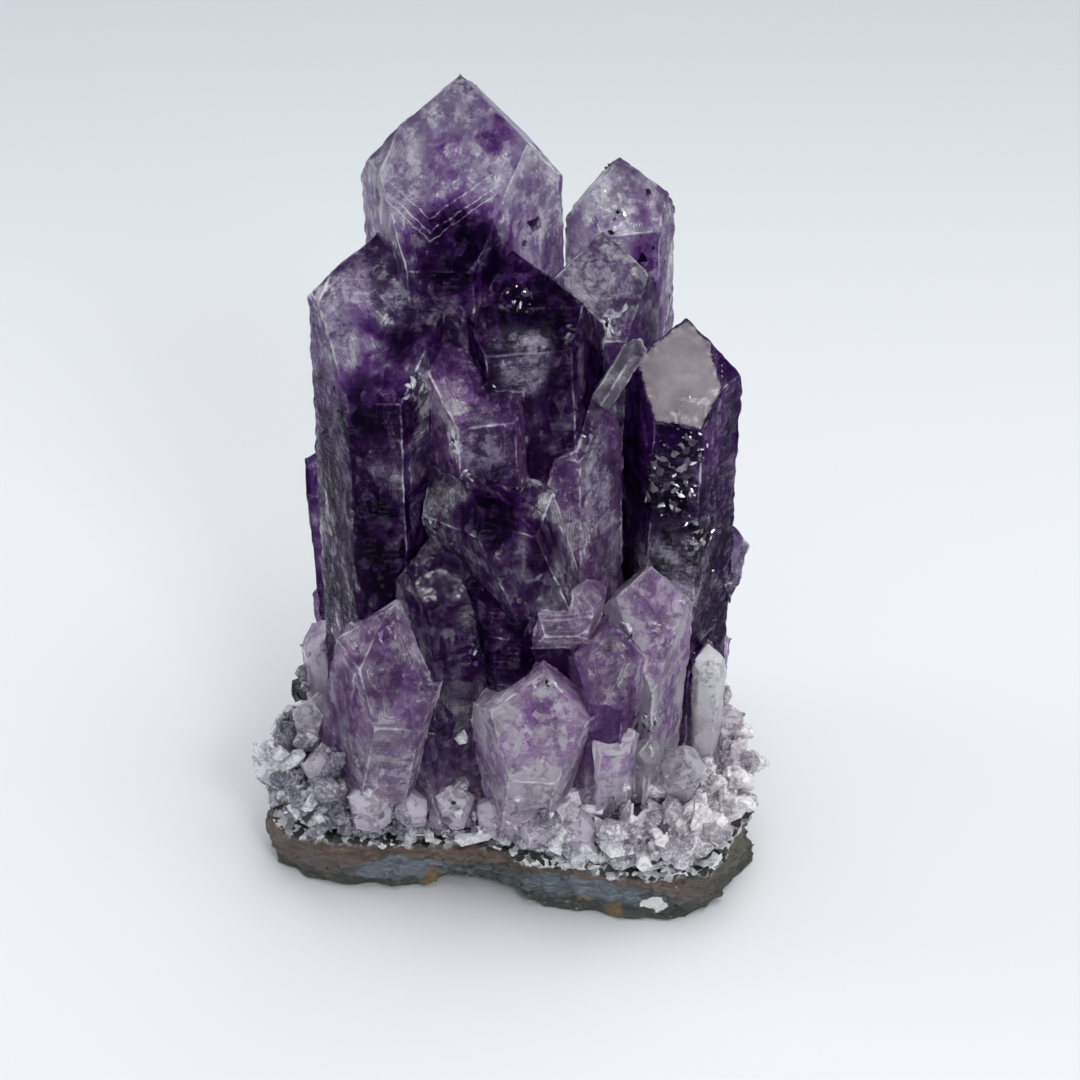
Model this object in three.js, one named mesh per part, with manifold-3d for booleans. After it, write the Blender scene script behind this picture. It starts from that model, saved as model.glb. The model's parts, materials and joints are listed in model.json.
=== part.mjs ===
// An amethyst cluster: quartz points grown from a bed of massive quartz on a rind of banded agate.
// Units are millimetres, +Z is up, the widest side of the base runs along X and its front is at -Y.
// Every crystal is a hexagonal prism ended by six rhombohedron faces, as quartz grows, and stops
// where it meets a crystal that was there first.
import * as THREE from "three";
import { mergeVertices } from "three/addons/utils/BufferGeometryUtils.js";
import Module from "manifold-3d";

const wasm = await Module();
wasm.setup();

// --- Driving dimensions ---------------------------------------------------------------------------

const GAP = 0.3; // clearance between neighbouring pieces
const FINEST = 0.004; // edges and slivers below this are closed up when solids are cut
const SIDES = 6; // quartz grows as a six-sided prism
const RHOMB_TILT = 51.8; // degrees between the prism axis and the normal of an end face
const SEAM = 9.3; // mean height where the rind ends and the quartz bed begins
const BED_TOP = 16.4; // mean height of the bed between the crystals
const ROOT = 12.6; // level in the bed where the crystals' feet stop
const RIND_EDGE = 1.1; // rounding of the rind's upper and lower edges
const SHRINK = 0.965; // the bed's outline next to the rind's

// Outline of the rind, looking down, anticlockwise from the left front corner.
const OUTLINE = [
  [-34.6, -13.6], [-30, -16.6], [-22, -18.6], [-13, -18.4], [-4, -18.8], [4, -22], [12, -23.8], [20, -24.8],
  [26, -24.6], [31, -19.5], [34.6, -12], [33.6, -3], [30.2, 7], [26.6, 17], [21.5, 24.5], [13, 28.4],
  [1, 28], [-11, 29], [-19.6, 26], [-25.4, 19], [-28.4, 10], [-31, 2], [-35, -7],
];

const COLOURS = {
  violet: 0x3d2363,
  lilac: 0x8a72ad,
  smoky: 0x544a62,
  clear: 0xc4bfcb,
  bed: 0xaaa4b0,
  rind: 0x6b5646,
};

// Every crystal, in the order they grew. tip and foot are points on the axis. girth is the distance
// from the axis to the prism faces, reach scales it for each of the six faces, and rise moves each
// end face outwards by that many millimetres, so the larger numbers make the smaller faces. twist
// turns the first face from the front towards the right, in degrees.
const CRYSTALS = [
  // Stubby points along the front rim.
  { name: "rim_point_1", tint: "clear", tip: [-27.4, -16, 19.8], foot: [-26.6, -14.4, ROOT], girth: 2.2,
    twist: 10, rise: [0, 1, 0, 1, 0, 1] },
  { name: "rim_point_2", tint: "clear", tip: [-20.6, -19, 20.8], foot: [-20, -16.8, ROOT], girth: 2.6,
    twist: -15, rise: [0, 1, 0, 1, 0, 1] },
  { name: "rim_point_3", tint: "clear", tip: [-14.2, -18.6, 19], foot: [-14.4, -16.2, ROOT], girth: 2.3,
    twist: 22, rise: [0, 1, 0, 1, 0, 1] },
  { name: "rim_point_4", tint: "clear", tip: [-8.2, -18.6, 21.2], foot: [-8.4, -16.4, ROOT], girth: 2.6,
    twist: 0, rise: [0, 1, 0, 1, 0, 1] },
  { name: "rim_point_5", tint: "clear", tip: [-2.4, -20, 19.2], foot: [-2.6, -17.6, ROOT], girth: 2.3,
    twist: -25, rise: [0, 1, 0, 1, 0, 1] },
  { name: "rim_point_6", tint: "clear", tip: [3.6, -22.8, 19.6], foot: [3.4, -20, ROOT], girth: 2.5,
    twist: 12, rise: [0, 1, 0, 1, 0, 1] },
  { name: "rim_point_7", tint: "clear", tip: [9.8, -23.2, 19], foot: [9.6, -20.8, ROOT], girth: 2.4,
    twist: -5, rise: [0, 1, 0, 1, 0, 1] },
  // The tall points, from the front row backwards.
  { name: "clear_spike", tint: "clear", tip: [27.6, -8, 37.5], foot: [27, -7, ROOT], girth: 2.4, twist: 5,
    rise: [0, 1.5, 0, 1.5, 0, 1.5] },
  { name: "left_tower", tint: "smoky", tip: [-17.5, 6, 96.6], foot: [-17, -2, ROOT], girth: 8.5, twist: -6,
    reach: [1.65, 1.3, 1.1, 0.8, 0.8, 1.08], rise: [0, 5, 0, 5, 0, 2.6] },
  { name: "crown_point", tint: "smoky", tip: [-6.5, 15, 115.4], foot: [-3, 10, ROOT], girth: 11.5, twist: -8,
    reach: [1.4, 0.95, 1, 1, 1, 1.1], rise: [0, 7, 0, 7, 0, 3.4] },
  { name: "pale_lath", tint: "clear", tip: [17.4, -1, 84.6], foot: [12.2, -3.4, 76], girth: 1.5, twist: 20,
    rise: [0, 1, 0, 1, 0, 1] },
  { name: "right_tower", tint: "violet", tip: [23.6, 5, 84], foot: [22.2, -3, ROOT], girth: 7.5, twist: -4,
    reach: [1.2, 0.95, 0.9, 1, 1, 1], rise: [0, 0.8, 0, 3, 0, 3] },
  { name: "rear_point", tint: "smoky", tip: [15, 25, 97], foot: [16, 17, ROOT], girth: 6.7, twist: 12,
    rise: [0, 3.5, 0, 3.5, 0, 3.5] },
  { name: "left_twin", tint: "lilac", tip: [-8, 1, 88.5], foot: [-5.4, -6, ROOT], girth: 6, twist: 10,
    reach: [1.7, 1.8, 1.6, 1, 1, 1], rise: [0, 5, 0, 4, 0, 4] },
  { name: "dark_point", tint: "violet", tip: [0.5, 3, 96], foot: [4.5, -1, ROOT], girth: 8.5, twist: 5,
    reach: [1, 1.15, 1.2, 1, 1, 1], rise: [0, 4, 0, 4, 0, 4] },
  { name: "shoulder_point", tint: "smoky", tip: [12.5, 13, 92.5], foot: [12, 6, ROOT], girth: 6.4, twist: 2,
    reach: [1.45, 1.1, 1, 1, 1.3, 1.5], rise: [0, 2.5, 0, 4, 0, 4] },
  { name: "middle_column", tint: "lilac", tip: [8.6, 1, 77], foot: [9.4, -8, ROOT], girth: 5.6, twist: -14,
    reach: [1.25, 1, 1, 1, 1, 1], rise: [0, 3.5, 0, 3, 0, 3] },
  { name: "heart_point", tint: "violet", tip: [-8.6, -6, 73], foot: [8.6, -6, 26], girth: 7.5, twist: -46,
    reach: [1, 1.6, 1.4, 1, 1, 1], rise: [0, 5, 0, 4, 0, 4] },
  { name: "left_flank", tint: "violet", tip: [-23.4, 9, 61.5], foot: [-21, 8, ROOT], girth: 5.8, twist: -30,
    rise: [0, 2, 0, 3, 0, 3] },
  { name: "right_wing", tint: "smoky", tip: [28.6, 4, 53], foot: [14, 0, ROOT], girth: 6.8, twist: 30,
    reach: [1, 1, 1, 1, 1, 1], rise: [0, 4, 0, 3, 0, 3] },
  { name: "shadow_column", tint: "violet", tip: [-9, -9, 60], foot: [-8, -12, ROOT], girth: 7, twist: 15,
    rise: [0, 3, 0, 3, 0, 3] },
  { name: "striped_point", tint: "violet", tip: [-1, -12, 58.5], foot: [3.4, -10, ROOT], girth: 6, twist: -5,
    reach: [1.5, 1, 1, 1, 1, 1], rise: [0, 4, 0, 4, 0, 4] },
  { name: "left_front_point", tint: "lilac", tip: [-13, -12.6, 51.5], foot: [-19.6, -5.6, ROOT], girth: 8.2,
    twist: 4, reach: [1.5, 1, 0.9, 0.8, 0.9, 1.15], rise: [0, 4, 0, 4, 0, 1.6] },
  { name: "front_point", tint: "lilac", tip: [4.5, -22, 44.2], foot: [1.6, -11, ROOT], girth: 7.6, twist: -2,
    reach: [1.3, 1, 1, 1, 1, 1], rise: [0, 4, 0, 4, 0, 4] },
  { name: "right_front_point", tint: "lilac", tip: [19.3, -8, 51.8], foot: [18.7, -9, ROOT], girth: 5.6,
    twist: 2, reach: [2.1, 1, 1, 1, 1, 1], rise: [0, 4, 0, 4, 0, 4] },
  { name: "deep_front_point", tint: "smoky", tip: [13.5, -16, 48], foot: [12, -14, ROOT], girth: 5.2, twist: 0,
    reach: [1.3, 1, 1, 1, 1, 1], rise: [0, 3, 0, 3, 0, 3] },
  { name: "button_point", tint: "violet", tip: [4.6, -20.5, 49.4], foot: [8, -8, 46], girth: 5, twist: 10,
    rise: [0, 1.5, 0, 1.5, 0, 1.5] },
  // Low points along the front and the ends.
  { name: "front_stub", tint: "lilac", tip: [13.9, -20, 35], foot: [13.4, -17, ROOT], girth: 3.5, twist: 8,
    rise: [0, 2, 0, 2, 0, 2] },
  { name: "window_point", tint: "violet", tip: [24.4, -22, 28], foot: [22.6, -13, 15], girth: 2.9, twist: 5,
    rise: [0, 1, 0, 1, 0, 1] },
  { name: "corner_sliver", tint: "clear", tip: [19.2, -20, 30.4], foot: [19, -17, ROOT], girth: 1.9, twist: 14,
    rise: [0, 1, 0, 1, 0, 1] },
  { name: "left_edge_point", tint: "clear", tip: [-28.6, -8, 27.4], foot: [-27.4, -6, ROOT], girth: 2.8,
    twist: -20, rise: [0, 1.5, 0, 1.5, 0, 1.5] },
  { name: "left_corner_point", tint: "clear", tip: [-27.6, -15, 23.6], foot: [-25.5, -12.5, ROOT], girth: 2.3,
    twist: -8, rise: [0, 1, 0, 1, 0, 1] },
  { name: "right_edge_point", tint: "clear", tip: [31, -5, 24], foot: [30, -4, ROOT], girth: 2.6,
    twist: 24, rise: [0, 1.5, 0, 1.5, 0, 1.5] },
  // The far side.
  { name: "rear_crown_companion", tint: "smoky", tip: [-8, 27, 88], foot: [-6, 19, ROOT], girth: 5.8,
    twist: 170, rise: [0, 3, 0, 3, 0, 3] },
  { name: "rear_left_point", tint: "violet", tip: [-19.5, 22, 60], foot: [-18, 16, ROOT], girth: 6.4,
    twist: 160, rise: [0, 3, 0, 4, 0, 3] },
  { name: "rear_middle_point", tint: "lilac", tip: [5, 29.5, 64], foot: [4.5, 22, ROOT], girth: 5.4,
    twist: 178, rise: [0, 3, 0, 3, 0, 3] },
  { name: "rear_right_point", tint: "violet", tip: [22.6, 19, 50], foot: [21.6, 14, ROOT], girth: 5.4,
    twist: 200, rise: [0, 2, 0, 4, 0, 3] },
  { name: "left_side_point", tint: "lilac", tip: [-26.4, 3, 33], foot: [-25.6, 1, ROOT], girth: 4,
    twist: -75, rise: [0, 2, 0, 2, 0, 2] },
  { name: "right_side_point", tint: "lilac", tip: [28, 8, 30], foot: [26.6, 6, ROOT], girth: 4,
    twist: 80, rise: [0, 2, 0, 2, 0, 2] },
  { name: "rear_left_stub", tint: "lilac", tip: [-25.4, 16, 34], foot: [-23.6, 13, ROOT], girth: 4.2,
    twist: 130, rise: [0, 2, 0, 2, 0, 2] },
  { name: "rear_low_left_point", tint: "clear", tip: [-12.6, 31, 33], foot: [-11.6, 24, ROOT], girth: 4,
    twist: 172, rise: [0, 2, 0, 2, 0, 2] },
  { name: "rear_low_right_point", tint: "clear", tip: [17, 30, 35], foot: [15, 23, ROOT], girth: 4.2,
    twist: 190, rise: [0, 2, 0, 2, 0, 2] },
  { name: "rear_corner_point", tint: "clear", tip: [26.4, 19, 27], foot: [24.6, 15, ROOT], girth: 3.4,
    twist: 230, rise: [0, 1, 0, 1, 0, 1] },
];

// Small points that cover the bed and are one body with it, in rings set in from the outline.
const DRUSE_RINGS = [
  { count: 36, inset: 0.9, lean: 0.2, girth: 2.3, height: 2.6 },
  { count: 26, inset: 0.78, lean: 0.1, girth: 2.6, height: 4.4 },
];

// --- Building blocks ------------------------------------------------------------------------------

// A closed three.js geometry as a manifold-3d solid.
function solidOf(geometry) {
  geometry.deleteAttribute("normal");
  geometry.deleteAttribute("uv");
  const merged = mergeVertices(geometry, 1e-4);
  return new wasm.Manifold(
    new wasm.Mesh({
      numProp: 3,
      vertProperties: merged.attributes.position.array,
      triVerts: new Uint32Array(merged.index.array),
      tolerance: FINEST,
    }),
  );
}

// A manifold-3d solid as a three.js geometry.
function geometryOf(solid) {
  const mesh = solid.getMesh();
  const geometry = new THREE.BufferGeometry();
  geometry.setAttribute("position", new THREE.BufferAttribute(new Float32Array(mesh.vertProperties), 3));
  geometry.setIndex(new THREE.BufferAttribute(new Uint32Array(mesh.triVerts), 1));
  geometry.computeVertexNormals();
  return geometry;
}

function largestBody(solid) {
  return solid.decompose().reduce((best, body) => (body.volume() > best.volume() ? body : best));
}

// A repeatable number between 0 and 1 for each seed.
function scatter(seed) {
  const value = Math.sin(seed * 127.1 + 311.7) * 43758.5453;
  return value - Math.floor(value);
}

// Keeps what lies on the inner side of a plane whose normal points outwards.
function trimmed(solid, outward, distance) {
  return solid.trimByPlane([-outward.x, -outward.y, -outward.z], -distance);
}

// --- Crystals -------------------------------------------------------------------------------------

// The frame of a crystal: origin at its tip, +Z along its axis, its first face turned by twist.
function crystalFrame({ tip, foot, twist = 0 }) {
  const top = new THREE.Vector3(...tip);
  const up = new THREE.Vector3(0, 0, 1);
  const axis = top.clone().sub(new THREE.Vector3(...foot)).normalize();
  const lean = new THREE.Quaternion().setFromUnitVectors(up, axis);
  const spin = new THREE.Quaternion().setFromAxisAngle(up, THREE.MathUtils.degToRad(twist));
  return new THREE.Matrix4().compose(top, lean.multiply(spin), new THREE.Vector3(1, 1, 1));
}

// One crystal in the cluster's frame, with every face moved outwards by grow.
function crystalSolid(spec, grow = 0) {
  const { tip, foot, girth, reach = [1, 1, 1, 1, 1, 1], rise, floor = ROOT } = spec;
  const length = new THREE.Vector3(...tip).distanceTo(new THREE.Vector3(...foot));
  const above = 2 * girth + 10;
  const widest = (girth * Math.max(...reach) + grow) * 1.6;
  const blank = new THREE.CylinderGeometry(widest, widest, length + above + grow, SIDES);
  blank.rotateX(Math.PI / 2);
  blank.translate(0, 0, (above - length - grow) / 2);
  const tilt = THREE.MathUtils.degToRad(RHOMB_TILT);
  let solid = solidOf(blank);
  for (let side = 0; side < SIDES; side++) {
    const turn = THREE.MathUtils.degToRad((side * 360) / SIDES - 90);
    const out = new THREE.Vector3(Math.cos(turn), Math.sin(turn), 0);
    const face = out.clone().multiplyScalar(Math.sin(tilt));
    face.z = Math.cos(tilt);
    solid = trimmed(solid, out, girth * reach[side] + grow);
    solid = trimmed(solid, face, rise[side] + grow);
  }
  return solid.transform(crystalFrame(spec).elements).trimByPlane([0, 0, 1], floor - grow);
}

// --- Bed and rind ---------------------------------------------------------------------------------

const rim = new THREE.CatmullRomCurve3(
  OUTLINE.map(([x, y]) => new THREE.Vector3(x, y, 0)),
  true,
);

// The outline pulled up into a block from one height to another, with weathered sides.
function outlineBlock(scale, bottom, top, rough) {
  const shape = new THREE.Shape(rim.getSpacedPoints(84).slice(0, -1).map((p) => new THREE.Vector2(p.x, p.y)));
  const block = new THREE.ExtrudeGeometry(shape, {
    depth: top - bottom - 2 * RIND_EDGE,
    steps: 3,
    bevelThickness: RIND_EDGE,
    bevelSize: RIND_EDGE,
    bevelOffset: -RIND_EDGE,
    bevelSegments: 2,
  });
  block.translate(0, 0, bottom + RIND_EDGE);
  const at = block.attributes.position;
  for (let i = 0; i < at.count; i++) {
    const [x, y, z] = [at.getX(i), at.getY(i), at.getZ(i)];
    const wave = Math.sin(0.41 * x + 0.9 * z) + Math.sin(0.53 * y - 0.7 * z + 1.3) + Math.sin(0.83 * (x - y) + z);
    const push = scale * (1 + (rough * wave) / Math.hypot(x, y));
    at.setXY(i, x * push, y * push);
  }
  return solidOf(block);
}

// A slab under an uneven surface: height(x, y) gives the level of its top.
function slabUnder(height, columns, rows) {
  const slab = new THREE.BoxGeometry(92, 74, 60, columns, rows, 1);
  const at = slab.attributes.position;
  for (let i = 0; i < at.count; i++) {
    if (at.getZ(i) > 0) at.setZ(i, height(at.getX(i), at.getY(i)));
  }
  return solidOf(slab);
}

// The seam between rind and bed waves gently; the bed's top is pitted and sinks to the right.
function seamHeight(x, y) {
  return SEAM + 0.5 * Math.sin(0.23 * x + 0.4) + 0.4 * Math.sin(0.31 * y + 0.12 * x);
}

function bedFloor(x, y) {
  return seamHeight(x, y) + GAP;
}

function bedHeight(x, y) {
  return BED_TOP - 0.05 * x + 2.2 * (scatter(Math.round(x * 10) + 1.7 * Math.round(y * 10)) - 0.5);
}

// All points of one druse ring as one solid, leaning outwards.
function druseSolid({ count, inset, lean, girth, height }) {
  const points = [];
  for (let index = 0; index < count; index++) {
    const seed = 10 * count + index;
    const place = rim.getPointAt((index + 0.7 * scatter(seed)) / count);
    const away = place.clone().normalize();
    const [x, y] = [place.x * inset, place.y * inset];
    const level = BED_TOP - 0.05 * x - 5;
    const rise = 5 + height * (0.55 + 0.9 * scatter(seed + 0.3));
    const sway = lean + 0.5 * (scatter(seed + 0.5) - 0.5);
    const point = {
      tip: [x + away.x * sway * rise, y + away.y * sway * rise, level + rise],
      foot: [x, y, level],
      girth: girth * (0.6 + 0.8 * scatter(seed + 0.7)),
      twist: 360 * scatter(seed + 0.9),
      rise: [0, 1, 0, 1, 0, 1],
      floor: SEAM + 1.6,
    };
    points.push(crystalSolid(point));
  }
  return points.reduce((all, point) => all.add(point));
}

function rindSolid() {
  const block = outlineBlock(1, 0, SEAM + 4, 0.55);
  const knob = new THREE.IcosahedronGeometry(4.6, 2);
  knob.scale(0.9, 1.1, 0.95);
  knob.translate(-32.4, -9.5, 5.4);
  const arch = new THREE.SphereGeometry(9, 24, 16);
  arch.scale(1, 1.1, 0.3);
  arch.translate(-4, -21.5, -0.4);
  const notch = new THREE.SphereGeometry(6, 20, 12);
  notch.scale(1.3, 1, 0.35);
  notch.translate(-34, -3, -0.3);
  return solidOf(knob)
    .add(block)
    .intersect(slabUnder(seamHeight, 30, 22))
    .subtract(solidOf(arch))
    .subtract(solidOf(notch));
}

// The bed with the sockets of the grown crystals cut out of it.
function bedSolid(grown) {
  const block = outlineBlock(SHRINK, SEAM - 4, BED_TOP + 6, 0.7).intersect(slabUnder(bedHeight, 24, 18));
  const bed = DRUSE_RINGS.reduce((all, ring) => all.add(druseSolid(ring)), block);
  const open = grown.reduce((rest, crystal) => rest.subtract(crystal), bed);
  return largestBody(open.subtract(slabUnder(bedFloor, 30, 22)));
}

// --- Assembly -------------------------------------------------------------------------------------

const cluster = new THREE.Group();

function addPiece(name, solid, tint, frame = new THREE.Matrix4()) {
  const material = new THREE.MeshStandardMaterial({
    color: COLOURS[tint],
    roughness: tint === "rind" ? 0.75 : 0.15,
    metalness: 0,
  });
  const geometry = geometryOf(solid).applyMatrix4(frame.clone().invert());
  const mesh = new THREE.Mesh(geometry, material);
  mesh.name = name;
  mesh.applyMatrix4(frame);
  cluster.add(mesh);
}

const grown = [];
for (const spec of CRYSTALS) {
  const crystal = grown.reduce((rest, earlier) => rest.subtract(earlier), crystalSolid(spec));
  addPiece(spec.name, largestBody(crystal), spec.tint, crystalFrame(spec));
  grown.push(crystalSolid(spec, GAP));
}
addPiece("quartz_bed", bedSolid(grown), "bed");
addPiece("agate_rind", rindSolid(), "rind");

// The origin goes to the middle of the underside of the whole cluster.
const extent = new THREE.Box3().setFromObject(cluster, true);
const centre = extent.getCenter(new THREE.Vector3());
cluster.position.set(-centre.x, -centre.y, -extent.min.z);

export default cluster;
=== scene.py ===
import json
import math
import random

import bmesh
import bpy
import numpy as np
from mathutils import Matrix, Vector
from mathutils.bvhtree import BVHTree


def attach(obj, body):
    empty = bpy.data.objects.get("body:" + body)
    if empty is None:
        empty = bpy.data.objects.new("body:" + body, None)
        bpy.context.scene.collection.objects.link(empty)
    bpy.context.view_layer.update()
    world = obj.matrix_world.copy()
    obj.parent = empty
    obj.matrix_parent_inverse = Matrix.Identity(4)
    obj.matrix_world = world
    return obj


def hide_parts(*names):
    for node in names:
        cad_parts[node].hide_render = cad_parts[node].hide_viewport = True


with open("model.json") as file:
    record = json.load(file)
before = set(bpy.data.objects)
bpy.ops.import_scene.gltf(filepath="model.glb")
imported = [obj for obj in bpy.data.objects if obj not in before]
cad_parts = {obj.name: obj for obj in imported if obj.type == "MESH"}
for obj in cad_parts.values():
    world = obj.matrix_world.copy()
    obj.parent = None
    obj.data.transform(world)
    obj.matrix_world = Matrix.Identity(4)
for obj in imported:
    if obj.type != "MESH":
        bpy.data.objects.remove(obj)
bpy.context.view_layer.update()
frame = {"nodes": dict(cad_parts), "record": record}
NODES = frame["nodes"]
SLOTS = {part["node"]: part["material_slot"] for part in frame["record"]["subparts"]}
MM = 0.001
UP = Vector((0, 0, 1))
GROW = 0.22 * MM  # the crystals swell by this much, so that they are grown into each other
SHARP = math.radians(14)  # faces that meet at more than this make an edge
WORN_EDGE = 0.18 * MM  # the width of the worn strip along an edge
BEND = 0.6 * MM  # how far a crystal's faces wander from flat
QUARTZ_IOR = 1.544
CUT_LENGTH = 7 * MM  # the crystals are cut across at about this distance before they are divided further
TALL = 50 * MM  # a longer crystal is divided once more
MOST_TRIANGLES = 165000  # of a crystal before its hills; each corner of a face becomes 2 * 4 ** (levels - 1)
EDGE_REACH = 1.6  # millimetres from an edge to where its chips end


# --- Modelling helpers ----------------------------------------------------------------------------

def take(piece):
    """Makes one object the only selected and active one."""
    if bpy.context.object and bpy.context.object.mode != "OBJECT":
        bpy.ops.object.mode_set(mode="OBJECT")
    bpy.ops.object.select_all(action="DESELECT")
    piece.select_set(True)
    bpy.context.view_layer.objects.active = piece
    return piece


def edit(piece):
    """Starts edit mode with all of the piece selected."""
    take(piece)
    bpy.ops.object.mode_set(mode="EDIT")
    bpy.ops.mesh.select_mode(type="VERT")
    bpy.ops.mesh.select_all(action="SELECT")


def done():
    bpy.ops.object.mode_set(mode="OBJECT")


def finish_modifier(piece, kind, **settings):
    """Adds a modifier and applies it."""
    take(piece)
    modifier = piece.modifiers.new(kind.lower(), kind)
    for key, value in settings.items():
        setattr(modifier, key, value)
    bpy.ops.object.modifier_apply(modifier=modifier.name)


def copy_of(node, name):
    """A copy of a CAD node with its loose triangles joined into whole faces."""
    piece = bpy.data.objects.new(name, NODES[node].data.copy())
    bpy.context.collection.objects.link(piece)
    piece.data.materials.clear()
    edit(piece)
    bpy.ops.mesh.remove_doubles(threshold=2e-5)
    bpy.ops.mesh.dissolve_limited(angle_limit=math.radians(0.8))
    done()
    return piece


def long_axis(piece):
    """The direction that the prism's edges share, pointing up, and the highest point along it."""
    mesh = piece.data
    runs = []
    for edge in mesh.edges:
        run = mesh.vertices[edge.vertices[1]].co - mesh.vertices[edge.vertices[0]].co
        if run.length > 1e-4:
            runs.append((run.normalized() if run.z > 0 else -run.normalized(), run.length))
    axis = max(runs, key=lambda one: sum(w for d, w in runs if abs(d.dot(one[0])) > 0.9995) * one[0].z)[0]
    tip = max((v.co for v in mesh.vertices), key=lambda co: co.dot(axis)).copy()
    return axis, tip


def relief(piece, texture, depth, place, group=""):
    """Moves the surface in and out by a procedural texture laid out along a matrix."""
    guide = bpy.data.objects.new("guide", None)
    bpy.context.collection.objects.link(guide)
    guide.matrix_world = place
    bpy.context.view_layer.update()
    finish_modifier(
        piece, "DISPLACE", texture=texture, texture_coords="OBJECT", texture_coords_object=guide,
        strength=depth, mid_level=0.5, vertex_group=group,
    )
    bpy.data.objects.remove(guide)


def scaled(size):
    """A matrix that scales by a size in millimetres."""
    return Matrix.Diagonal([side * MM for side in size] + [1])


def standing(axis):
    """A matrix that turns +Z to an axis."""
    return UP.rotation_difference(axis).to_matrix().to_4x4()


def set_values(mesh, name, values, domain="POINT"):
    """Gives a mesh one number for each corner or face, for its material to read."""
    mesh.attributes.new(name, "FLOAT", domain).data.foreach_set("value", values)


def place_as(piece, node=None):
    """Hides the CAD node that a finished piece stands for, if any, and puts the piece on the root body."""
    if node:
        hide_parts(node)
    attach(piece, "root")


def cloud_texture(name, basis="ORIGINAL_PERLIN", depth=2, contrast=1.0):
    texture = bpy.data.textures.new(name, "CLOUDS")
    texture.noise_scale = 1.0
    texture.noise_basis = basis
    texture.noise_depth = depth
    texture.contrast = contrast
    return texture


WAVES = cloud_texture("waves")
STEPS = cloud_texture("steps", basis="CELL_NOISE", depth=0)
PITS = cloud_texture("pits", basis="VORONOI_F2_F1", depth=0, contrast=2.0)


# --- Materials ------------------------------------------------------------------------------------

class Value:
    """A value in a material; arithmetic on it adds the nodes that work it out."""

    def __init__(self, finish, socket):
        self.finish, self.socket = finish, socket

    def math(self, operation, *values):
        return self.finish.node("ShaderNodeMath", {"operation": operation}, dict(enumerate(values)))

    def __add__(self, other): return self.math("ADD", self, other)
    def __radd__(self, other): return self.math("ADD", other, self)
    def __sub__(self, other): return self.math("SUBTRACT", self, other)
    def __rsub__(self, other): return self.math("SUBTRACT", other, self)
    def __mul__(self, other): return self.math("MULTIPLY", self, other)
    def __rmul__(self, other): return self.math("MULTIPLY", other, self)
    def __abs__(self): return self.math("ABSOLUTE", self)
    def least(self, other): return self.math("MINIMUM", self, other)
    def most(self, other): return self.math("MAXIMUM", self, other)

    def within(self, low, high):
        """0 below low, 1 above high and a smooth step between."""
        return self.finish.node(
            "ShaderNodeMapRange", {"interpolation_type": "SMOOTHSTEP"}, {0: self, 1: low, 2: high},
        )


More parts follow.
